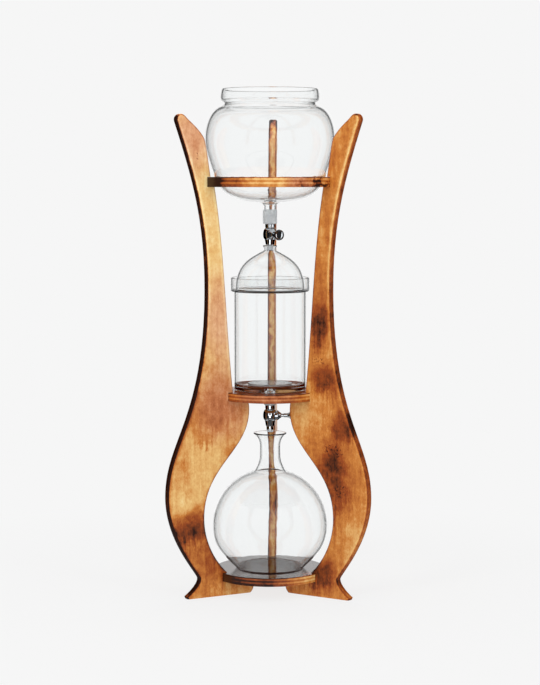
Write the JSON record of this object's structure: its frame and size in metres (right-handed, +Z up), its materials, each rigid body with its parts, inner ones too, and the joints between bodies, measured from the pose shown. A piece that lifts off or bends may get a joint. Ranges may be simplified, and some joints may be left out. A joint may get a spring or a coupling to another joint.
{
  "type": "cold drip coffee tower",
  "caption": "Tall cold drip coffee tower: curved wooden legs carry a water globe, a drip valve, a glass brewer with a second valve, and a carafe.",
  "frame": {"origin": "on the floor, at the middle of the outline of the whole tower; the tower's own axis is 41.5 mm in front of it, at x 0, y -0.0415", "axes": "+Z up, front -Y, one leg at the rear on +Y"},
  "size_m": [0.3832, 0.354, 0.9535],
  "materials": {
    "flamed_wood": "flame-toned and varnished board",
    "flamed_plywood": "flame-toned and varnished board, plies on the rim",
    "dowel_beech": "plain beech",
    "borosilicate_glass": "clear, fire-polished",
    "clear_silicone": "translucent, matt",
    "chromed_brass": "polished",
    "black_rubber": "matt",
    "sintered_glass": "porous, translucent",
    "zinc_steel": "zinc-plated"
  },
  "bodies": {
    "frame": {"leg_rear": "flamed_wood", "leg_front_left": "flamed_wood", "leg_front_right": "flamed_wood", "upper_ring_shelf": "flamed_plywood", "middle_shelf": "flamed_plywood", "base_disc": "flamed_plywood", "ring_shelf_dowels": "dowel_beech", "middle_shelf_dowels": "dowel_beech", "base_disc_screws": "zinc_steel"},
    "globe": {"water_globe": "borosilicate_glass", "upper_coupling_sleeve": "clear_silicone", "upper_valve_body": "chromed_brass", "upper_gland_nut": "chromed_brass", "upper_drip_tip": "chromed_brass"},
    "upper_knob": {"upper_valve_plug": "chromed_brass", "upper_valve_seals": "black_rubber", "upper_valve_knob": "chromed_brass"},
    "brewer": {"brew_cylinder": "borosilicate_glass", "filter_gasket": "clear_silicone", "filter_disc": "sintered_glass", "lower_coupling_sleeve": "clear_silicone", "lower_valve_body": "chromed_brass", "lower_gland_nut": "chromed_brass", "lower_drip_tip": "chromed_brass"},
    "lower_knob": {"lower_valve_plug": "chromed_brass", "lower_valve_seals": "black_rubber", "lower_valve_knob": "chromed_brass"},
    "lid": {"dome_lid": "borosilicate_glass"},
    "carafe": {"carafe": "borosilicate_glass"}
  },
  "joints": [
    {"name": "globe_lift", "type": "slide", "parent": "frame", "child": "globe", "axis": [0, 0, 1], "range_m": [0, 0.27]},
    {"name": "upper_valve_turn", "type": "hinge", "parent": "globe", "child": "upper_knob", "pos_m": [0, -0.0415, 0.6805], "axis": [0.4226, -0.9063, 0], "range_deg": [0, 90]},
    {"name": "brewer_lift", "type": "slide", "parent": "frame", "child": "brewer", "axis": [0, 0, 1], "range_m": [0, 0.005]},
    {"name": "lower_valve_turn", "type": "hinge", "parent": "brewer", "child": "lower_knob", "pos_m": [0, -0.0415, 0.3365], "axis": [1, 0, 0], "range_deg": [0, 90]},
    {"name": "lid_lift", "type": "slide", "parent": "brewer", "child": "lid", "axis": [0, 0, 1], "range_m": [0, 0.005]},
    {"name": "carafe_slide", "type": "slide", "parent": "frame", "child": "carafe", "axis": [0, -1, 0], "range_m": [0, 0.26]}
  ]
}
